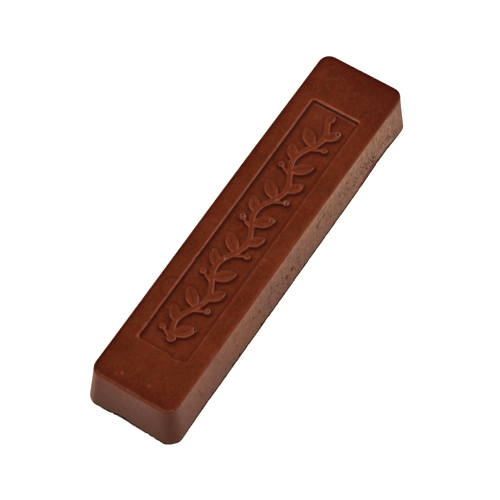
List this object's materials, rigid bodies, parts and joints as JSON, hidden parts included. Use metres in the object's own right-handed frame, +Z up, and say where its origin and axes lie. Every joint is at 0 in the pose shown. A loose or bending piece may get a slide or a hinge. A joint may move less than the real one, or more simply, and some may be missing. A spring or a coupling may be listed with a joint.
{
  "type": "furniture repair wax stick",
  "caption": "Bar of red-brown filler wax with leaning sides, rounded corners, a sunk panel with a raised leafy vine, and an irregular pour edge round its flat underside.",
  "frame": {"origin": "centre of the underside, on the surface that the bar rests on", "axes": "+X along the bar, +Y across it, +Z up to the face with the sunk panel; the pictured corner is at -X, -Y"},
  "size_m": [0.09, 0.0212, 0.0118],
  "materials": {
    "wax": null
  },
  "bodies": {
    "root": {"wax_bar": "wax"}
  },
  "joints": []
}
